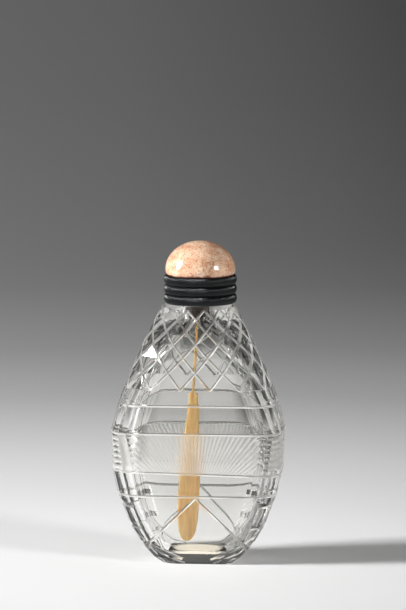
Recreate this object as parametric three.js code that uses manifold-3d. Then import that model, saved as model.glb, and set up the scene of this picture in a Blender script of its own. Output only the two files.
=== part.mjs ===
// A flattened, hollow bottle of clear cut glass with a stone stopper, a black collar, a cork and a spoon.
// Millimetres, +Z up, origin at the middle of the foot, the broad front towards -Y.
import * as THREE from "three";
import { mergeVertices } from "three/addons/utils/BufferGeometryUtils.js";
import Module from "manifold-3d";

const wasm = await Module();
wasm.setup();

const { lerp, degToRad, clamp, smoothstep } = THREE.MathUtils;

// Outside of the glass body
const LIP_Z = 60.8;
const LIP_RADIUS = 7.7;
const LIP_SIDES = 28;
const NECK_Z = 60;
const NECK_HALF_WIDTH = 8.6;
const NECK_HALF_DEPTH = 7.7;
const SHOULDER_Z = 37.9;
const BELLY_Z = 29.5;
const BELLY_HALF_WIDTH = 20.3;
const BELLY_HALF_DEPTH = 10.5;
const FOOT_HALF_WIDTH = 8.4;
const FOOT_HALF_DEPTH = 5.6;
const LOWER_CURVE = 0.74;
const UPPER_CURVE = 1.38;

// Flat shares of a section: the broad panel and the narrow side, at the foot, the belly and the neck
const FOOT_PANEL_SHARE = 0.58;
const WAIST_PANEL_SHARE = 0.7;
const BELLY_PANEL_SHARE = 0.82;
const SIDE_SHARE = 0.42;
const NECK_SHARE = 0.12;
const CORNER_FACETS = 3;

// Level cuts that run right round the body
const GIRDLES = [16.5, 21.9, 31.3, SHOULDER_Z];
const GIRDLE_SLOPES = [0, -0.025, 0, 0];
const GIRDLE_DEPTH = 0.26;
const FOOT_BEVEL_Z = 1.5;
const LOWER_RINGS = [4.2, 8.8];
const MITRE_SLOPE = Math.tan(degToRad(50));
const LIFT = 0.6;
const CUT_TOLERANCE = 0.008;
const PROBE = 0.45;

// Diamond lattice on the shoulders, from above the top girdle to the neck
const LATTICE_Z = 41.5;
const LATTICE_COLUMNS = 14;
const LATTICE_ROWS = 6;
const LATTICE_GROWTH = 1.1;
const LATTICE_DEPTH = 0.24;
const LATTICE_SIDE_DEPTH = 0.5;

// Sunburst of fine rays on the front and back, with ribs on the narrow sides
const RAY_COUNT = 37;
const RAY_STEP = degToRad(3);
const RAY_CENTRE_Z = 13.5;
const RAY_REACH = 15;
const RAY_SHARE = 0.0038;
const RAY_SLOPE = Math.tan(degToRad(81));
const RIB_COUNT = 6;
const RIB_DEPTH = 0.35;
const RIB_SLOPE = Math.tan(degToRad(58));
const SIDE_REACH = 0.81;

// Slanted cuts below the lowest girdle
const CHEVRON_STEPS = 7;
const CHEVRON_FOOT_Z = 1.2;
const CHEVRON_DEPTH = 0.24;
const FRONT_CHEVRON_Z = 16.2;
const SIDE_CHEVRON_Z = 12.6;
const SIDE_NOTCHES = [4.2, 8.8, 14];
const SIDE_NOTCH_DEPTH = 0.5;

// Hollow inside, which follows the outside
const FRONT_WALL = 4;
const FOOT_WALL = 2.9;
const SIDE_WALL = 3.2;
const CAVITY_HALF_DEPTH = BELLY_HALF_DEPTH - FRONT_WALL;
const CAVITY_FOOT_HALF_DEPTH = FOOT_HALF_DEPTH - FOOT_WALL;
const CAVITY_FLOOR_Z = 2.6;
const CAVITY_FLOOR_SHARE = 0.6;
const CAVITY_FLOOR_ROUND = 3.2;
const CAVITY_SHOULDER_Z = 53;
const CAVITY_TOP_Z = 57.5;
const CAVITY_PANEL_SHARE = 0.55;
const CAVITY_SIDE_SHARE = 0.2;
const BORE_FLAT_SHARE = 0.02;
const BORE_RADIUS = 3.3;
const CAVITY_SIDES = 28;
const CAVITY_RINGS = 12;

// Stopper: cork, spoon, collar and stone. The collar and stone sit a little to one side of the neck.
const GAP = 0.04;
const STOPPER_SHIFT = 0.45;
const CORK_RADIUS = 3;
const CORK_LENGTH = 3.4;
const COLLAR_RADIUS = 8.5;
const COLLAR_HEIGHT = 6.6;
const RIDGE_COUNT = 3;
const RIDGE_BULGE = 0.75;
const RIDGE_FULLNESS = 0.8;
const RIDGE_STEPS = 4;
const STONE_RADIUS = 8.25;
const STONE_HEIGHT = 7.8;
const STONE_EDGE = 1.1;
const STONE_UNDERCUT = degToRad(17.8);
const STONE_STEPS = 9;
const ROUND_SIDES = 34;

const SPOON_AT = [-0.3, 1.4];
const SPOON_LEAN_BACK = degToRad(1);
const SPOON_LEAN_LEFT = degToRad(2.9);
const STEM_HALF_WIDTH = 0.3;
const STEM_LENGTH = 18.4;
const BLADE_TOP_HALF_WIDTH = 1.1;
const BLADE_HALF_WIDTH = 2.55;
const BLADE_SHOULDER = 0.4;
const BLADE_FLARE = 19;
const BLADE_LENGTH = 35.2;
const TIP_LENGTH = 7.4;
const SPOON_THICKNESS = 0.8;

// Share of the way from the foot or neck size to the belly size at height z
function swell(z) {
  if (z < BELLY_Z) {
    const down = (BELLY_Z - z) / BELLY_Z;
    return (1 - down ** 2) ** LOWER_CURVE;
  }
  const up = (z - BELLY_Z) / (NECK_Z - BELLY_Z);
  return 1 - Math.min(up, 1) ** UPPER_CURVE;
}

// Share of the half-width that the flat panel takes at height z
function panelShare(z) {
  const [, waist, belly] = GIRDLES;
  if (z < waist) {
    return lerp(FOOT_PANEL_SHARE, WAIST_PANEL_SHARE, z / waist);
  }
  if (z < belly) {
    return lerp(WAIST_PANEL_SHARE, BELLY_PANEL_SHARE, (z - waist) / (belly - waist));
  }
  return lerp(NECK_SHARE, BELLY_PANEL_SHARE, swell(z));
}

// Half-sizes of the outside at height z, and the flat parts of its panel and side
function sectionSizes(z) {
  const share = swell(z);
  const low = z < BELLY_Z;
  const width = lerp(low ? FOOT_HALF_WIDTH : NECK_HALF_WIDTH, BELLY_HALF_WIDTH, share);
  const up = clamp((z - SHOULDER_Z) / (NECK_Z - SHOULDER_Z), 0, 1);
  const upperDepth = lerp(BELLY_HALF_DEPTH, NECK_HALF_DEPTH, up);
  const depth = low ? lerp(FOOT_HALF_DEPTH, BELLY_HALF_DEPTH, share) : upperDepth;
  const panel = width * panelShare(z);
  const side = depth * (low ? SIDE_SHARE : lerp(NECK_SHARE, SIDE_SHARE, share));
  return { width, depth, panel, side };
}

// Rounded outline of a level section, anticlockwise from the middle of the front
function outline({ width, depth, panel, side }) {
  const path = new THREE.Path();
  path.moveTo(0, -depth);
  path.lineTo(panel, -depth);
  path.absellipse(panel, -side, width - panel, depth - side, -Math.PI / 2, 0);
  path.lineTo(width, side);
  path.absellipse(panel, side, width - panel, depth - side, 0, Math.PI / 2);
  path.lineTo(-panel, depth);
  path.absellipse(-panel, side, width - panel, depth - side, Math.PI / 2, Math.PI);
  path.lineTo(-width, -side);
  path.absellipse(-panel, -side, width - panel, depth - side, Math.PI, 1.5 * Math.PI);
  path.lineTo(0, -depth);
  return path;
}

function raise(points, z) {
  return points.map((point) => new THREE.Vector3(point.x, point.y, z));
}

// Corners of the faceted section at height z
function facetRing(z) {
  const corners = outline(sectionSizes(z)).curves.filter((curve) => curve.isEllipseCurve);
  return raise(corners.flatMap((curve) => curve.getPoints(CORNER_FACETS)), z);
}

const BODY_HEIGHTS = [0, FOOT_BEVEL_Z, ...LOWER_RINGS, ...GIRDLES, LATTICE_Z];
const bodyRings = BODY_HEIGHTS.map(facetRing);

// Corners of the faceted body at any height, on the flat bands between its rings
function bodyRing(z) {
  const band = Math.max(BODY_HEIGHTS.findLastIndex((height) => height <= z), 0);
  const upper = Math.min(band + 1, BODY_HEIGHTS.length - 1);
  const span = BODY_HEIGHTS[upper] - BODY_HEIGHTS[band] || 1;
  const rise = (z - BODY_HEIGHTS[band]) / span;
  return bodyRings[band].map((point, i) => point.clone().lerp(bodyRings[upper][i], rise));
}

// Points spaced evenly round an outline at height z
function evenRing(sizes, z, count) {
  return raise(outline(sizes).getSpacedPoints(count).slice(0, count), z);
}

function circleRing(radius, z, count) {
  const points = new THREE.EllipseCurve(0, 0, radius, radius).getSpacedPoints(count).slice(0, count);
  return raise(points, z);
}

// Closed solid from a geometry whose shared corners are merged
function solidOf(geometry) {
  geometry.deleteAttribute("normal");
  geometry.deleteAttribute("uv");
  const merged = mergeVertices(geometry, 1e-5);
  const vertProperties = new Float32Array(merged.attributes.position.array);
  const triVerts = new Uint32Array(merged.index.array);
  return new wasm.Manifold(new wasm.Mesh({ numProp: 3, vertProperties, triVerts }));
}

// Solid through a row of sections, each a ring of points anticlockwise about the way it runs
function loft(sections, endless = false) {
  const size = sections[0].length;
  const index = [];
  const bands = endless ? sections.length : sections.length - 1;
  for (let band = 0; band < bands; band += 1) {
    const low = band * size;
    const high = ((band + 1) % sections.length) * size;
    for (let i = 0; i < size; i += 1) {
      const next = (i + 1) % size;
      index.push(low + i, low + next, high + i);
      index.push(low + next, high + next, high + i);
    }
  }
  const last = (sections.length - 1) * size;
  for (let i = 1; !endless && i < size - 1; i += 1) {
    index.push(0, i + 1, i);
    index.push(last, last + i, last + i + 1);
  }
  const geometry = new THREE.BufferGeometry().setFromPoints(sections.flat());
  geometry.setIndex(index);
  return solidOf(geometry);
}

// V-shaped cutter along a row of stops, each with a point on the glass, its outward normal and the depth
function grooveCutter(stops, slope = MITRE_SLOPE, endless = false) {
  const count = stops.length;
  const sections = stops.map((stop, i) => {
    const before = stops[endless ? (i - 1 + count) % count : Math.max(i - 1, 0)].point;
    const after = stops[endless ? (i + 1) % count : Math.min(i + 1, count - 1)].point;
    const along = after.clone().sub(before);
    const across = stop.normal.clone().cross(along).normalize();
    const reach = (stop.depth + LIFT) * slope;
    const top = stop.point.clone().addScaledVector(stop.normal, LIFT);
    return [
      top.clone().addScaledVector(across, reach),
      top.clone().addScaledVector(across, -reach),
      stop.point.clone().addScaledVector(stop.normal, -stop.depth),
    ];
  });
  return loft(sections, endless);
}

// Outward level direction at one corner of a ring
function levelNormal(ring, i) {
  const after = ring[(i + 1) % ring.length];
  const before = ring[(i - 1 + ring.length) % ring.length];
  return new THREE.Vector3(after.y - before.y, before.x - after.x, 0).normalize();
}

// Level cut right round the body, or one that falls to the right by its slope
function girdleCutter(z, index) {
  const ring = bodyRing(z).map((point, i) => bodyRing(z + GIRDLE_SLOPES[index] * point.x)[i]);
  const stops = ring.map((point, i) => ({ point, normal: levelNormal(ring, i), depth: GIRDLE_DEPTH }));
  return grooveCutter(stops, MITRE_SLOPE, true);
}

// Short level cut on one narrow side, running out on the rounded corners
function sideCutter(z, direction, depth, slope) {
  const ring = bodyRing(z);
  const edge = sectionSizes(z).width * SIDE_REACH;
  const stops = [];
  ring.forEach((point, i) => {
    if (point.x * direction > edge) {
      stops.push({ point, normal: levelNormal(ring, i), depth });
    }
  });
  return grooveCutter(stops, slope);
}

function ribCutters(direction) {
  return Array.from({ length: RIB_COUNT }, (_, i) => {
    const z = lerp(GIRDLES[1], GIRDLES[2], (i + 1) / (RIB_COUNT + 1));
    return sideCutter(z, direction, RIB_DEPTH, RIB_SLOPE);
  });
}

// Rays: straight cuts in the broad panel that fan out from a point below it, deeper outwards
function rayCutters(direction) {
  const [low, high] = [GIRDLES[1], GIRDLES[2]];
  const lowY = direction * sectionSizes(low).depth;
  const highY = direction * sectionSizes(high).depth;
  const normal = new THREE.Vector3(0, direction * (high - low), Math.abs(lowY) - Math.abs(highY)).normalize();
  return Array.from({ length: RAY_COUNT }, (_, i) => {
    const angle = (i - (RAY_COUNT - 1) / 2) * RAY_STEP;
    const limit = Math.min(high - RAY_CENTRE_Z, RAY_REACH / Math.abs(Math.tan(angle) || 1e-6));
    const stops = [low - RAY_CENTRE_Z, limit].map((rise) => {
      const z = RAY_CENTRE_Z + rise;
      const y = lerp(lowY, highY, (z - low) / (high - low));
      const point = new THREE.Vector3(rise * Math.tan(angle), y, z);
      return { point, normal, depth: (RAY_SHARE * rise) / Math.cos(angle) };
    });
    return grooveCutter(stops, RAY_SLOPE);
  });
}

// Section of the faceted body as one line from its front middle, right round
function bodyLine(z) {
  const ring = bodyRing(z);
  const start = ring[0].clone().lerp(ring[ring.length - 1], 0.5);
  return new THREE.Path([start, ...ring, start].map((point) => new THREE.Vector2(point.x, point.y)));
}

// A point on the faceted body, at height z and a distance along its section from the front middle
function bodyPoint(z, distance) {
  const line = bodyLine(z);
  const share = distance / line.getLength();
  const point = line.getPointAt(share - Math.floor(share));
  return new THREE.Vector3(point.x, point.y, z);
}

function bodyNormal(z, distance) {
  const around = bodyPoint(z, distance + PROBE).sub(bodyPoint(z, distance - PROBE));
  const up = bodyPoint(z + PROBE, distance).sub(bodyPoint(z - PROBE, distance));
  return around.cross(up).normalize();
}

// Slanted cut from a peak down to the foot bevel, at 45 degrees on the surface
function chevronCutter(quarter, peak, slant) {
  const stops = Array.from({ length: CHEVRON_STEPS + 1 }, (_, i) => {
    const z = lerp(peak, CHEVRON_FOOT_Z, i / CHEVRON_STEPS);
    const distance = (bodyLine(z).getLength() * quarter) / 4 + slant * (peak - z);
    return { point: bodyPoint(z, distance), normal: bodyNormal(z, distance), depth: CHEVRON_DEPTH };
  });
  return grooveCutter(stops);
}

// Heights of the lattice rows, growing downwards from the neck
function latticeHeights() {
  const steps = Array.from({ length: LATTICE_ROWS }, (_, i) => LATTICE_GROWTH ** (LATTICE_ROWS - 1 - i));
  const total = steps.reduce((sum, step) => sum + step, 0);
  const heights = [LATTICE_Z];
  steps.forEach((step) => heights.push(heights[heights.length - 1] + ((NECK_Z - LATTICE_Z) * step) / total));
  return heights;
}

const latticeRows = latticeHeights().map((z) => evenRing(sectionSizes(z), z, 2 * LATTICE_COLUMNS));

function latticePoint(row, column) {
  const count = 2 * LATTICE_COLUMNS;
  return latticeRows[row][((column % count) + count) % count];
}

function latticeNormal(row, column) {
  const around = latticePoint(row, column + 1).clone().sub(latticePoint(row, column - 1));
  const above = latticePoint(Math.min(row + 1, LATTICE_ROWS), column);
  const below = latticePoint(Math.max(row - 1, 0), column);
  return around.cross(above.clone().sub(below)).normalize();
}

// Slanted lattice cuts, each a row of edges that climbs one half column a row
function latticeCutters(direction) {
  return Array.from({ length: LATTICE_COLUMNS }, (_, i) => {
    const stops = latticeRows.map((_row, row) => {
      const column = 2 * i + 1 + direction * row;
      const normal = latticeNormal(row, column);
      const depth = lerp(LATTICE_DEPTH, LATTICE_SIDE_DEPTH, Math.abs(normal.x));
      return { point: latticePoint(row, column), normal, depth };
    });
    return grooveCutter(stops);
  });
}

// Shoulders with one flat diamond between four lattice corners
function shoulders() {
  const sections = latticeRows.map((_row, row) =>
    Array.from({ length: LATTICE_COLUMNS }, (_, i) => latticePoint(row, 2 * i + 1 + row)),
  );
  return loft(sections);
}

// Inside of the glass: a smooth hollow with a rounded floor that narrows to the bore
function cavityRing(z) {
  const outside = sectionSizes(z);
  const rise = Math.min((z - CAVITY_FLOOR_Z) / CAVITY_FLOOR_ROUND, 1);
  const swelling = lerp(CAVITY_FLOOR_SHARE, 1, Math.sqrt(1 - (1 - rise) ** 2));
  const closing = smoothstep(z, CAVITY_SHOULDER_Z, CAVITY_TOP_Z);
  const front = lerp(CAVITY_FOOT_HALF_DEPTH, CAVITY_HALF_DEPTH, z < BELLY_Z ? swell(z) : 1);
  const width = lerp((outside.width - SIDE_WALL) * swelling, BORE_RADIUS, closing);
  const depth = lerp(front * swelling, BORE_RADIUS, closing);
  const panel = width * lerp(CAVITY_PANEL_SHARE, BORE_FLAT_SHARE, closing);
  const side = depth * lerp(CAVITY_SIDE_SHARE, BORE_FLAT_SHARE, closing);
  return evenRing({ width, depth, panel, side }, z, CAVITY_SIDES);
}

function cavity() {
  const sections = Array.from({ length: CAVITY_RINGS + 1 }, (_, i) => {
    const share = (1 - Math.cos((i / CAVITY_RINGS) * Math.PI)) / 2;
    return cavityRing(lerp(CAVITY_FLOOR_Z, CAVITY_TOP_Z, share));
  });
  sections.push(raise(sections[CAVITY_RINGS], LIP_Z + 1));
  return loft(sections);
}

// The main body of a cut solid, without slivers thinner than the tolerance
function mainBody(solid) {
  const bodies = solid.simplify(CUT_TOLERANCE).decompose();
  return bodies.reduce((best, body) => (body.volume() > best.volume() ? body : best));
}

function bottle() {
  const lip = loft([circleRing(LIP_RADIUS, NECK_Z - 2, LIP_SIDES), circleRing(LIP_RADIUS, LIP_Z, LIP_SIDES)]);
  const blank = loft(bodyRings).add(shoulders()).add(lip);
  const cutters = GIRDLES.map(girdleCutter);
  for (const direction of [1, -1]) {
    cutters.push(...latticeCutters(direction), ...rayCutters(direction), ...ribCutters(direction));
    cutters.push(...SIDE_NOTCHES.map((z) => sideCutter(z, direction, SIDE_NOTCH_DEPTH, MITRE_SLOPE)));
    for (const quarter of [0, 2]) {
      cutters.push(chevronCutter(quarter, FRONT_CHEVRON_Z, direction));
      cutters.push(chevronCutter(quarter + 1, SIDE_CHEVRON_Z, direction));
    }
  }
  cutters.push(cavity());
  return mainBody(cutters.reduce((solid, cutter) => solid.subtract(cutter), blank));
}

// Profile turned about the Z axis, given as [radius, height] pairs that start and end on the axis
function turned(profile) {
  const points = profile.map(([radius, height]) => new THREE.Vector2(radius, height));
  return new THREE.LatheGeometry(points, ROUND_SIDES).rotateX(Math.PI / 2);
}

function collarProfile() {
  const profile = [[0, 0]];
  const ridge = COLLAR_HEIGHT / RIDGE_COUNT;
  for (let i = 0; i < RIDGE_COUNT; i += 1) {
    for (let step = 0; step <= RIDGE_STEPS; step += 1) {
      const turn = (step / RIDGE_STEPS) * Math.PI;
      const radius = COLLAR_RADIUS - RIDGE_BULGE * (1 - Math.sin(turn) ** RIDGE_FULLNESS);
      if (step > 0 || i === 0) {
        profile.push([radius, ridge * (i + (1 - Math.cos(turn)) / 2)]);
      }
    }
  }
  profile.push([0, COLLAR_HEIGHT]);
  return profile;
}

function stoneProfile() {
  const dome = STONE_HEIGHT - STONE_EDGE;
  const profile = [[0, 0]];
  for (let step = 0; step <= STONE_STEPS; step += 1) {
    const turn = lerp(-STONE_UNDERCUT, Math.PI / 2, step / STONE_STEPS);
    const rise = turn < 0 ? STONE_EDGE * (1 + turn / STONE_UNDERCUT) : STONE_EDGE + dome * Math.sin(turn);
    profile.push([STONE_RADIUS * Math.cos(turn), rise]);
  }
  return profile;
}

// Spoon outline from its top down: a thin stem, then a blade that widens to a long round tip
function spoonGeometry() {
  const shape = new THREE.Shape();
  const bladeTop = -STEM_LENGTH;
  const tipCentre = bladeTop - BLADE_LENGTH + TIP_LENGTH;
  shape.moveTo(STEM_HALF_WIDTH, 0);
  shape.lineTo(-STEM_HALF_WIDTH, 0);
  shape.lineTo(-STEM_HALF_WIDTH, bladeTop);
  shape.lineTo(-BLADE_TOP_HALF_WIDTH, bladeTop - BLADE_SHOULDER);
  shape.lineTo(-BLADE_HALF_WIDTH, bladeTop - BLADE_FLARE);
  shape.lineTo(-BLADE_HALF_WIDTH, tipCentre);
  shape.absellipse(0, tipCentre, BLADE_HALF_WIDTH, TIP_LENGTH, Math.PI, 2 * Math.PI, false);
  shape.lineTo(BLADE_HALF_WIDTH, bladeTop - BLADE_FLARE);
  shape.lineTo(BLADE_TOP_HALF_WIDTH, bladeTop - BLADE_SHOULDER);
  shape.lineTo(STEM_HALF_WIDTH, bladeTop);
  shape.closePath();
  const options = { depth: SPOON_THICKNESS, bevelEnabled: false, curveSegments: 8 };
  const geometry = new THREE.ExtrudeGeometry(shape, options);
  return geometry.translate(0, 0, -SPOON_THICKNESS / 2).rotateX(Math.PI / 2);
}

function geometryOf(solid) {
  const mesh = solid.getMesh();
  const geometry = new THREE.BufferGeometry();
  geometry.setAttribute("position", new THREE.BufferAttribute(new Float32Array(mesh.vertProperties), 3));
  geometry.setIndex(new THREE.BufferAttribute(new Uint32Array(mesh.triVerts), 1));
  return geometry;
}

function piece(name, geometry, material) {
  const mesh = new THREE.Mesh(geometry, new THREE.MeshStandardMaterial(material));
  mesh.name = name;
  return mesh;
}

const glass = { color: 0xe6e8e2, roughness: 0.02, metalness: 0, transparent: true, opacity: 0.35 };
const corkZ = LIP_Z - CORK_LENGTH;

const bottlePiece = piece("bottle", geometryOf(bottle()), glass);
const cork = piece("cork", turned([[0, 0], [CORK_RADIUS, 0], [CORK_RADIUS, CORK_LENGTH], [0, CORK_LENGTH]]),
  { color: 0x3d2416, roughness: 0.8, metalness: 0 });
cork.position.set(0, 0, corkZ);
const spoon = piece("spoon", spoonGeometry(), { color: 0xc89650, roughness: 0.4, metalness: 0 });
spoon.position.set(SPOON_AT[0], SPOON_AT[1], corkZ - GAP);
spoon.rotation.set(SPOON_LEAN_BACK, SPOON_LEAN_LEFT, 0);

const stopper = new THREE.Group();
stopper.position.set(STOPPER_SHIFT, 0, LIP_Z + GAP);
stopper.add(piece("collar", turned(collarProfile()), { color: 0x101417, roughness: 0.4, metalness: 0 }));
const stoneLook = { color: 0xdcae96, roughness: 0.15, metalness: 0 };
const stone = piece("stopper_stone", turned(stoneProfile()), stoneLook);
stone.position.z = COLLAR_HEIGHT + GAP;
stopper.add(stone);

const group = new THREE.Group();
group.add(bottlePiece, cork, spoon, stopper);

export default group;
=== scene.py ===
"""A flattened snuff bottle of clear cut glass with a stone stopper, on a pale sweep. Metres, +Z up."""

import math

import bmesh
import bpy
from mathutils import Matrix, Vector
from mathutils.bvhtree import BVHTree


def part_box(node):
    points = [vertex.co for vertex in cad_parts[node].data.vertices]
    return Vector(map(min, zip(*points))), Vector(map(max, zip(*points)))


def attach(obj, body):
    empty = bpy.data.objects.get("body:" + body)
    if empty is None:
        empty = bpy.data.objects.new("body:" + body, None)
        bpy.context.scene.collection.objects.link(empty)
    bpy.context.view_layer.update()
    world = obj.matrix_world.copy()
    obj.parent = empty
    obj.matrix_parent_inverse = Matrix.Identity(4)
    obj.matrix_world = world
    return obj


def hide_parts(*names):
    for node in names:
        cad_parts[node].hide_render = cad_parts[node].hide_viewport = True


# Camera, fitted to the photograph
CAMERA_AZIMUTH = math.radians(4.7)
CAMERA_DISTANCE = 1.0
CAMERA_HEIGHT = 0.195
CAMERA_TARGET = Vector((0.00106, 0.0, 0.0602))
CAMERA_LENS = 256.0
CAMERA_CLIP = 0.01

# Stage: a round sweep, pale underfoot and darker with distance; the darkening is painted shade of the lights
# falling off
SWEEP_INNER = [0.001, 0.1]
SWEEP_FLAT = 0.5
SWEEP_RADIUS = 1.6
SWEEP_HEIGHT = 1.1
SWEEP_SIDES = 96
SWEEP_STEPS = 24
SWEEP_TONE_AND_SHADE = [
    (0.00, 0.80),
    (0.06, 0.78),
    (0.15, 0.62),
    (0.25, 0.40),
    (0.35, 0.29),
    (0.50, 0.235),
    (0.80, 0.19),
    (1.60, 0.145),
]

# Painted shade: the sweep darkens to the right, little near the bottle and more with distance, as the key
# light from the left falls off
RIGHT_SHADE_REACH = 0.15
RIGHT_SHADE_TONES = [(-0.10, 1.0), (-0.03, 0.87), (0.05, 0.58), (0.115, 0.28)]
RIGHT_SHADE_SHARES = [(0.0, 0.12), (0.3, 0.2), (0.6, 0.75), (1.0, 1.0)]

# Painted light: the paper glows under the foot, standing in for the light that the glass gathers there
FOOT_GLOW = (1.0, 0.93, 0.8)
FOOT_GLOW_STRENGTH = 0.4
FOOT_GLOW_REACH = (0.0055, 0.008)
FOOT_GLOW_STRETCH = (1, 1.5, 0)

# Lights: place, size across and up, power, in metres and watts
KEY_LIGHT = ((-0.925, -0.25, 0.42), (0.20, 0.46), 23.5)
SIDE_LIGHT = ((0.86, -0.50, 0.32), (0.20, 0.24), 6.5)
LIGHT_AIM = Vector((0, 0, 0.04))
WORLD_GREY = 0.10

# Glass: clear, matt on the cuts between the outer girdles, silky on the other cuts
GLASS_IOR = 1.5
GLASS_TINT = (0.992, 0.988, 0.97)
MATT_TINT = (0.97, 0.96, 0.92)
MATT_ROUGHNESS = 0.3
MATT_CLEARNESS = 0.78
SILKY_CLEARNESS = 0.95
CLEAR_SLOT, MATT_SLOT, SILKY_SLOT = range(3)
MATT_LOW = 0.0155
MATT_HIGH = 0.0395

# Which faces of the glass are cuts, and which line the hollow
GROOVE_ANGLE = math.radians(22)
RAY_ANGLE = math.radians(5)
FAN_LOW = 0.0222
FAN_HIGH = 0.0311
FACING = 0.9
FOOT_LEVEL = 1e-4
INSIDE_HALF_WIDTH = 0.0172
INSIDE_HALF_DEPTH = 0.0082
INSIDE_LOW = 0.003
SMOOTH_INSIDE = math.radians(40)
MERGE_DISTANCE = 1e-7
FLAT_ANGLE = math.radians(0.2)

# Spoon, as placed in the solid
SPOON_TOP = Vector((-0.0003, 0.0014, 0.05736))
SPOON_LEAN_BACK = math.radians(1)
SPOON_LEAN_LEFT = math.radians(2.9)
STEM_HALF_WIDTH = 0.0003
STEM_LENGTH = 0.0184
BLADE_TOP_HALF_WIDTH = 0.0011
BLADE_SHOULDER = 0.0004
BLADE_HALF_WIDTH = 0.00255
BLADE_FLARE = 0.019
BLADE_STEPS = 30
SPOON_LENGTH = 0.0536
SPOON_HALF_THICKNESS = 0.0004
SPOON_SIDES = 20
SPOON_ROUND_ACROSS = 0.5
SPOON_ROUND_THROUGH = 0.7
TIP_LENGTH = 0.0074
TIP_STEPS = 16
TIP_LEAST = 1e-5
HORN_GRAIN = 900
HORN_STRETCH = (1, 1, 0.12)
HORN_DEPTHS = (0.002, 0.0012, 0.0005)
HORN_TONES = [(0.3, (0.6, 0.29, 0.075)), (0.5, (0.8, 0.48, 0.15)), (0.72, (0.92, 0.64, 0.26))]

# Cork: shares of its radius and height, from the bottom up
CORK_PROFILE = [(0.86, 0.0), (0.97, 0.03), (1.0, 0.1), (1.0, 0.97), (0.97, 1.0)]
CORK_SIDES = 64
CORK_GRAIN = 1500
CORK_TONES = [(0.35, (0.016, 0.008, 0.004)), (0.7, (0.075, 0.038, 0.02))]
CORK_BUMP = 0.0003

# Collar
RIDGES = 3
RIDGE_ROWS = 14
RIDGE_BULGE = 0.00075
RIDGE_FULLNESS = 0.8
THREADS = 120
THREAD_STEPS = 8
THREAD_DEPTH = 0.0001
THREAD_SLANT = 2.2
THREAD_FADE = 0.5
COLLAR_GRAIN = 2600
COLLAR_TONES = [(0.4, (0.002, 0.0028, 0.0034)), (0.75, (0.008, 0.0095, 0.011))]
COLLAR_BUMP = 0.0002

# Stone dome
STONE_SIDES = 128
STONE_ROWS = 48
STONE_EDGE = 0.0011
STONE_EDGE_ROWS = 8
STONE_FOOT_SHARE = 0.955
STONE_TIP_RADIUS = 1e-5
STONE_DEPTHS = (0.001, 0.0006, 0.0004)
STONE_CLOUDS = 420
STONE_TONES = [(0.3, (0.54, 0.26, 0.15)), (0.5, (0.74, 0.46, 0.3)), (0.7, (0.86, 0.64, 0.47))]
STONE_SPECKS = 2400
SPECK_SHARES = [(0.36, 0.8), (0.5, 0.0)]
SPECK_COLOUR = (0.34, 0.13, 0.07)
FOOT_LINE_RISE = 0.0018
FOOT_LINE_WAVES = 500
FOOT_LINE_SHARES = [(0.55, 1.0), (0.8, 0.0)]
FOOT_LINE_COLOUR = (0.22, 0.06, 0.03)

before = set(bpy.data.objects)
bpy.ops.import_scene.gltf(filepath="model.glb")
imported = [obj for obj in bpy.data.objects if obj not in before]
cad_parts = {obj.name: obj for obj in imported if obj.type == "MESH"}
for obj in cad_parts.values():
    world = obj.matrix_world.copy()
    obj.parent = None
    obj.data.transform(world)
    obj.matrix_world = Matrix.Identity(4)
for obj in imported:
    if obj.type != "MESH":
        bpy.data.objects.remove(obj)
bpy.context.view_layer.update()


def new_object(name, data):
    obj = bpy.data.objects.new(name, data)
    bpy.context.scene.collection.objects.link(obj)
    return obj


def mesh_from(name, points, faces):
    """A smooth mesh object from points and faces, with its faces turned outwards."""
    mesh = bpy.data.meshes.new(name)
    mesh.from_pydata([tuple(point) for point in points], [], faces)
    shape = bmesh.new()
    shape.from_mesh(mesh)
    bmesh.ops.recalc_face_normals(shape, faces=shape.faces)
    shape.to_mesh(mesh)
    shape.free()
    for polygon in mesh.polygons:
        polygon.use_smooth = True
    return new_object(name, mesh)


def full_turn(count):
    """Angles of equal steps right round."""
    return [2 * math.pi * i / count for i in range(count)]


def round_ring(middle, radii, height):
    """Level ring about a middle, with one radius for each of its points."""
    turns = full_turn(len(radii))
    return [
        (middle.x + radius * math.cos(turn), middle.y + radius * math.sin(turn), height)
        for radius, turn in zip(radii, turns)
    ]


def circle(middle, radius, height, sides):
    return round_ring(middle, [radius] * sides, height)


def grid_faces(rows, columns):
    """Quads between closed rings of points, row after row."""
    faces = []
    for row in range(rows - 1):
        for column in range(columns):
            following = (column + 1) % columns
            low, high = row * columns, (row + 1) * columns
            faces.append((low + column, low + following, high + following, high + column))
    return faces


def lofted(name, rings, top=True):
    """A piece through rings of points, closed at the first ring and, with top, at the last."""
    columns = len(rings[0])
    points = [point for ring in rings for point in ring]
    faces = grid_faces(len(rings), columns)
    faces.append(tuple(range(columns)))
    if top:
        last = (len(rings) - 1) * columns
        faces.append(tuple(range(last, last + columns)))
    return mesh_from(name, points, faces)


def greys(stops):
    """Stops of a ramp from pairs of a place and a tone."""
    return [(place, (tone, tone, tone)) for place, tone in stops]


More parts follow.
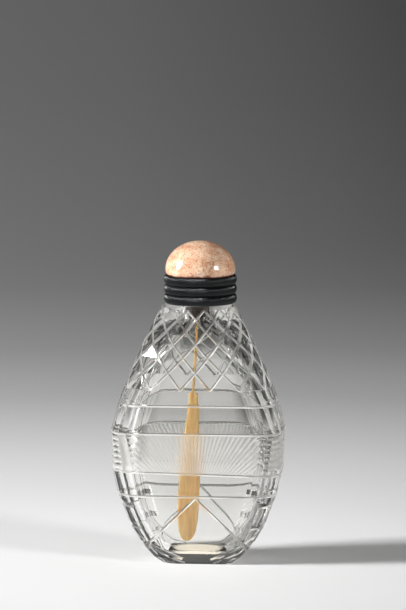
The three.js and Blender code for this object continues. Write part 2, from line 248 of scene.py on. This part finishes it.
class Shader:
    """A material with one Principled shader and short calls for its texture nodes."""

    def __init__(self, name, **values):
        self.material = bpy.data.materials.new(name)
        self.material.use_nodes = True
        self.tree = self.material.node_tree
        self.surface = self.tree.nodes["Principled BSDF"]
        for socket, value in values.items():
            self.surface.inputs[socket.replace("_", " ")].default_value = value

    def node(self, kind, inputs=None, **settings):
        made = self.tree.nodes.new(kind)
        for key, value in settings.items():
            setattr(made, key, value)
        for key, value in (inputs or {}).items():
            if isinstance(value, bpy.types.NodeSocket):
                self.tree.links.new(value, made.inputs[key])
            else:
                made.inputs[key].default_value = value
        return made

    def link(self, socket, target):
        self.tree.links.new(socket, self.surface.inputs[target])

    def place(self):
        return self.node("ShaderNodeTexCoord").outputs["Object"]

    def stretched(self, factors):
        """Place on the piece, with each axis scaled."""
        inputs = {0: self.place(), 1: factors}
        return self.node("ShaderNodeVectorMath", inputs, operation="MULTIPLY").outputs[0]

    def length(self, vector):
        return self.node("ShaderNodeVectorMath", {0: vector}, operation="LENGTH").outputs["Value"]

    def along(self, direction):
        """Distance of the place from the origin along a direction."""
        inputs = {0: self.place(), 1: direction}
        return self.node("ShaderNodeVectorMath", inputs, operation="DOT_PRODUCT").outputs["Value"]

    def share(self, value, low, high):
        """Share of the way that a value has gone from low to high."""
        inputs = {"Value": value, "From Min": low, "From Max": high}
        return self.node("ShaderNodeMapRange", inputs).outputs[0]

    def noise(self, scale, detail=3.0, roughness=0.5, vector=None):
        inputs = {"Vector": vector or self.place(), "Scale": scale, "Detail": detail, "Roughness": roughness}
        return self.node("ShaderNodeTexNoise", inputs).outputs["Fac"]

    def ramp(self, factor, stops):
        node = self.node("ShaderNodeValToRGB", {"Fac": factor})
        elements = node.color_ramp.elements
        while len(elements) < len(stops):
            elements.new(1.0)
        for element, (position, colour) in zip(elements, stops):
            element.position = position
            element.color = (*colour, 1.0)
        return node.outputs["Color"]

    def mix(self, factor, first, second, blend="MIX"):
        """First mixed with second, a socket or a colour, by a factor socket."""
        node = self.node("ShaderNodeMix", data_type="RGBA", blend_type=blend)
        self.tree.links.new(factor, node.inputs[0])
        for index, value in ((6, first), (7, second)):
            if isinstance(value, bpy.types.NodeSocket):
                self.tree.links.new(value, node.inputs[index])
            else:
                node.inputs[index].default_value = (*value, 1.0)
        return node.outputs[2]

    def bump(self, height, strength, distance):
        inputs = {"Height": height, "Strength": strength, "Distance": distance}
        self.link(self.node("ShaderNodeBump", inputs).outputs["Normal"], "Normal")


def dress(obj, shader, node):
    """The piece stands for its CAD node, moves with the bottle and wears the material."""
    obj.data.materials.clear()
    obj.data.materials.append(shader.material)
    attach(obj, "root")
    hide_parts(node)


def set_camera():
    camera = new_object("camera", bpy.data.cameras.new("camera"))
    camera.location = (
        CAMERA_DISTANCE * math.sin(CAMERA_AZIMUTH),
        -CAMERA_DISTANCE * math.cos(CAMERA_AZIMUTH),
        CAMERA_HEIGHT,
    )
    camera.rotation_euler = (CAMERA_TARGET - camera.location).to_track_quat("-Z", "Y").to_euler()
    camera.data.lens = CAMERA_LENS
    camera.data.clip_start = CAMERA_CLIP
    bpy.context.scene.camera = camera
    bpy.context.scene.view_settings.view_transform = "Standard"


def paper_shader():
    """Paper of the sweep: paler near the bottle and to the left, darker elsewhere by painted shade, and with
    a painted glow under the foot.
    """
    paper = Shader("paper", Roughness=0.9, Emission_Strength=FOOT_GLOW_STRENGTH)
    reach = paper.share(paper.length(paper.stretched((1, 1, 0))), 0.0, SWEEP_RADIUS)
    # Painted shade: the paper's tone falls with distance from the bottle
    tones = greys((distance / SWEEP_RADIUS, tone) for distance, tone in SWEEP_TONE_AND_SHADE)
    # Painted shade: darker to the right, the more so with distance, multiplied into the paper's tone
    shares = greys((distance / SWEEP_RADIUS, share) for distance, share in RIGHT_SHADE_SHARES)
    right_shade_stops = greys(((x + RIGHT_SHADE_REACH) / (2 * RIGHT_SHADE_REACH), tone) for x, tone in RIGHT_SHADE_TONES)
    to_the_right = (math.cos(CAMERA_AZIMUTH), math.sin(CAMERA_AZIMUTH), 0)
    painted_right_shade = paper.ramp(paper.share(paper.along(to_the_right), -RIGHT_SHADE_REACH, RIGHT_SHADE_REACH), right_shade_stops)
    paper_tone_and_shade = paper.mix(paper.ramp(reach, shares), paper.ramp(reach, tones), painted_right_shade, "MULTIPLY")
    paper.link(paper_tone_and_shade, "Base Color")
    # Painted light: emission on the paper round the foot
    from_foot = paper.share(paper.length(paper.stretched(FOOT_GLOW_STRETCH)), *FOOT_GLOW_REACH)
    paper.link(paper.ramp(from_foot, [(0.0, FOOT_GLOW), (1.0, (0, 0, 0))]), "Emission Color")
    return paper


def make_sweep():
    centre = Vector((0, 0, 0))
    rings = [circle(centre, radius, 0.0, SWEEP_SIDES) for radius in (*SWEEP_INNER, SWEEP_FLAT)]
    for step in range(1, SWEEP_STEPS + 1):
        bend = math.pi / 2 * step / SWEEP_STEPS
        across = SWEEP_FLAT + (SWEEP_RADIUS - SWEEP_FLAT) * math.sin(bend)
        rings.append(circle(centre, across, SWEEP_HEIGHT * (1 - math.cos(bend)), SWEEP_SIDES))
    sweep = lofted("sweep", rings, top=False)
    sweep.data.materials.append(paper_shader().material)


def softbox(name, place, size, power):
    light = bpy.data.lights.new(name, "AREA")
    light.shape = "RECTANGLE"
    light.size, light.size_y = size
    light.energy = power
    obj = new_object(name, light)
    obj.location = place
    obj.rotation_euler = (LIGHT_AIM - obj.location).to_track_quat("-Z", "Y").to_euler()
    obj.visible_camera = False


def set_lights():
    softbox("key light", *KEY_LIGHT)
    softbox("side light", *SIDE_LIGHT)
    world = bpy.data.worlds.new("world")
    bpy.context.scene.world = world
    world.use_nodes = True
    background = world.node_tree.nodes["Background"]
    background.inputs["Color"].default_value = (WORLD_GREY, WORLD_GREY, WORLD_GREY, 1)


def inside_face(face):
    """True on the faces that line the hollow."""
    middle = face.calc_center_median()
    inwards = face.normal.x * middle.x + face.normal.y * middle.y <= 0
    narrow = abs(middle.x) < INSIDE_HALF_WIDTH and abs(middle.y) < INSIDE_HALF_DEPTH
    return inwards and narrow and middle.z > INSIDE_LOW


def hull_tree(mesh):
    """Convex blank round the glass, as it was before it was cut."""
    blank = bmesh.new()
    for vertex in mesh.vertices:
        blank.verts.new(vertex.co)
    bmesh.ops.convex_hull(blank, input=blank.verts)
    return BVHTree.FromBMesh(blank)


def ground_face(face, blank):
    """True on the wheel-cut grooves, the ribs, the rays and the foot, which aren't polished."""
    middle = face.calc_center_median()
    _, normal, _, _ = blank.find_nearest(middle)
    in_fan = FAN_LOW < middle.z < FAN_HIGH and abs(face.normal.y) > FACING
    limit = RAY_ANGLE if in_fan else GROOVE_ANGLE
    on_foot = face.normal.z < -FACING and middle.z < FOOT_LEVEL
    return on_foot or face.normal.angle(normal) > limit


def finish_slot(face, is_ground):
    """Material slot of a face of the glass."""
    if not is_ground:
        return CLEAR_SLOT
    return MATT_SLOT if MATT_LOW < face.calc_center_median().z < MATT_HIGH else SILKY_SLOT


def glass_shader(name, tint, roughness, clearness):
    colour = (*tint, 1)
    return Shader(name, Base_Color=colour, Roughness=roughness, IOR=GLASS_IOR, Transmission_Weight=clearness)


def make_bottle():
    """The solid's own faces, flat outside and smooth in the hollow."""
    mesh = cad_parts["bottle"].data.copy()
    blank = hull_tree(mesh)
    shape = bmesh.new()
    shape.from_mesh(mesh)
    bmesh.ops.remove_doubles(shape, verts=shape.verts, dist=MERGE_DISTANCE)
    bmesh.ops.dissolve_limit(shape, angle_limit=FLAT_ANGLE, verts=shape.verts, edges=shape.edges)
    hollow = {face for face in shape.faces if inside_face(face)}
    ground = {face for face in shape.faces if face not in hollow and ground_face(face, blank)}
    for face in shape.faces:
        face.smooth = face in hollow
    for edge in shape.edges:
        joins_hollow = all(face in hollow for face in edge.link_faces)
        edge.smooth = joins_hollow and edge.calc_face_angle(math.pi) < SMOOTH_INSIDE
    slots = [finish_slot(face, face in ground) for face in shape.faces]
    shape.to_mesh(mesh)
    shape.free()

    bottle = new_object("glass_bottle", mesh)
    dress(bottle, glass_shader("cut glass", GLASS_TINT, 0.0, 1.0), "bottle")
    matt = glass_shader("ground glass", MATT_TINT, MATT_ROUGHNESS, MATT_CLEARNESS)
    silky = glass_shader("silky glass", MATT_TINT, MATT_ROUGHNESS, SILKY_CLEARNESS)
    mesh.materials.append(matt.material)
    mesh.materials.append(silky.material)
    for polygon, slot in zip(mesh.polygons, slots):
        polygon.material_index = slot


def spoon_half_width(drop):
    if drop <= STEM_LENGTH:
        return STEM_HALF_WIDTH
    tip = SPOON_LENGTH - TIP_LENGTH
    if drop > tip:
        return BLADE_HALF_WIDTH * math.sqrt(max(1 - ((drop - tip) / TIP_LENGTH) ** 2, TIP_LEAST))
    share = min((drop - STEM_LENGTH) / BLADE_FLARE, 1.0)
    return BLADE_TOP_HALF_WIDTH + (BLADE_HALF_WIDTH - BLADE_TOP_HALF_WIDTH) * share


def squared(value, power):
    """A sine or cosine raised to a power, with its sign kept."""
    return math.copysign(abs(value) ** power, value)


def spoon_ring(drop):
    """Flat rounded section of the spoon, a drop below its top."""
    half_width = spoon_half_width(drop)
    half_thickness = min(SPOON_HALF_THICKNESS, half_width)
    ring = []
    for turn in full_turn(SPOON_SIDES):
        x = half_width * squared(math.cos(turn), SPOON_ROUND_ACROSS)
        y = half_thickness * squared(math.sin(turn), SPOON_ROUND_THROUGH)
        ring.append(Vector((x, y, -drop)))
    return ring


def make_spoon():
    """A thin rounded stem and a flat blade with a round tip."""
    blade_top = STEM_LENGTH + BLADE_SHOULDER
    blade_run = SPOON_LENGTH - TIP_LENGTH - STEM_LENGTH
    drops = [0.0, STEM_LENGTH]
    drops += [blade_top + blade_run * i / BLADE_STEPS for i in range(BLADE_STEPS)]
    for i in range(1, TIP_STEPS + 1):
        drops.append(SPOON_LENGTH - TIP_LENGTH * (1 - math.sin(math.pi / 2 * i / TIP_STEPS)))
    lean = Matrix.Rotation(SPOON_LEAN_BACK, 3, "X") @ Matrix.Rotation(SPOON_LEAN_LEFT, 3, "Y")
    rings = [[SPOON_TOP + lean @ point for point in spoon_ring(drop)] for drop in drops]
    spoon = lofted("spoon_blade", rings)
    horn = Shader("amber horn", Roughness=0.4, IOR=1.5, Subsurface_Weight=0.25, Subsurface_Radius=HORN_DEPTHS)
    grain = horn.noise(HORN_GRAIN, 4, 0.6, horn.stretched(HORN_STRETCH))
    horn.link(horn.ramp(grain, HORN_TONES), "Base Color")
    dress(spoon, horn, "spoon")


def make_cork():
    low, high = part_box("cork")
    middle = (low + high) / 2
    radius = (high.x - low.x) / 2
    rings = []
    for share, rise in CORK_PROFILE:
        rings.append(circle(middle, radius * share, low.z + (high.z - low.z) * rise, CORK_SIDES))
    cork = lofted("cork_plug", rings)
    bark = Shader("cork", Roughness=0.8)
    specks = bark.noise(CORK_GRAIN, 4, 0.65)
    bark.link(bark.ramp(specks, CORK_TONES), "Base Color")
    bark.bump(specks, 0.4, CORK_BUMP)
    dress(cork, bark, "cork")


def thread_dip(ridge, bend, turn):
    """Depth of the slanted threads at one point, fading out at both edges of a ridge."""
    wave = math.cos(THREADS * turn + THREAD_SLANT * bend + ridge)
    return THREAD_DEPTH * (1 - wave) * math.sin(bend) ** THREAD_FADE


def make_collar():
    """Rounded ridges with fine slanted threads."""
    low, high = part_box("collar")
    middle = (low + high) / 2
    outer_radius = (high.x - low.x) / 2
    ridge_height = (high.z - low.z) / RIDGES
    turns = full_turn(THREADS * THREAD_STEPS)
    rings = []
    for ridge in range(RIDGES):
        for row in range(0 if ridge == 0 else 1, RIDGE_ROWS + 1):
            bend = math.pi * row / RIDGE_ROWS
            height = low.z + ridge_height * (ridge + (1 - math.cos(bend)) / 2)
            radius = outer_radius - RIDGE_BULGE * (1 - math.sin(bend) ** RIDGE_FULLNESS)
            radii = [radius - thread_dip(ridge, bend, turn) for turn in turns]
            rings.append(round_ring(middle, radii, height))
    collar = lofted("ridged_collar", rings)
    black = Shader("black collar", Roughness=0.2, IOR=1.5, Specular_IOR_Level=0.34)
    flecks = black.noise(COLLAR_GRAIN, 3, 0.6)
    black.link(black.ramp(flecks, COLLAR_TONES), "Base Color")
    black.bump(flecks, 0.35, COLLAR_BUMP)
    dress(collar, black, "collar")


def stone_shader(foot):
    """Mottled pink stone with an uneven red-brown line along its foot."""
    pink = Shader("pink stone", Roughness=0.16, IOR=1.54, Coat_Weight=0.15, Coat_Roughness=0.05)
    pink.surface.inputs["Subsurface Weight"].default_value = 0.1
    pink.surface.inputs["Subsurface Radius"].default_value = STONE_DEPTHS
    body = pink.ramp(pink.noise(STONE_CLOUDS, 4, 0.6), STONE_TONES)
    specks = pink.ramp(pink.noise(STONE_SPECKS, 3, 0.7), greys(SPECK_SHARES))
    mottled = pink.mix(specks, body, SPECK_COLOUR)
    height = pink.node("ShaderNodeSeparateXYZ", {0: pink.place()}).outputs["Z"]
    rise = pink.share(height, foot, foot + FOOT_LINE_RISE)
    waves = pink.noise(FOOT_LINE_WAVES)
    uneven = pink.node("ShaderNodeMath", {0: rise, 1: waves}, operation="ADD").outputs[0]
    foot_line = pink.ramp(uneven, greys(FOOT_LINE_SHARES))
    pink.link(pink.mix(foot_line, mottled, FOOT_LINE_COLOUR), "Base Color")
    return pink


def make_stone():
    """A dome on a low edge that draws in a little towards its foot."""
    low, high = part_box("stopper_stone")
    middle = (low + high) / 2
    outer_radius = (high.x - low.x) / 2
    dome = high.z - low.z - STONE_EDGE
    rings = []
    for row in range(STONE_EDGE_ROWS):
        share = row / STONE_EDGE_ROWS
        swell = STONE_FOOT_SHARE + (1 - STONE_FOOT_SHARE) * math.sin(share * math.pi / 2)
        rings.append(circle(middle, outer_radius * swell, low.z + STONE_EDGE * share, STONE_SIDES))
    dome_rows = STONE_ROWS - STONE_EDGE_ROWS
    for row in range(dome_rows):
        bend = math.pi / 2 * row / dome_rows
        height = low.z + STONE_EDGE + dome * math.sin(bend)
        rings.append(circle(middle, outer_radius * math.cos(bend), height, STONE_SIDES))
    rings.append(circle(middle, STONE_TIP_RADIUS, high.z, STONE_SIDES))
    stone = lofted("stone_dome", rings)
    dress(stone, stone_shader(low.z), "stopper_stone")


set_camera()
make_sweep()
set_lights()
make_bottle()
make_spoon()
make_cork()
make_collar()
make_stone()
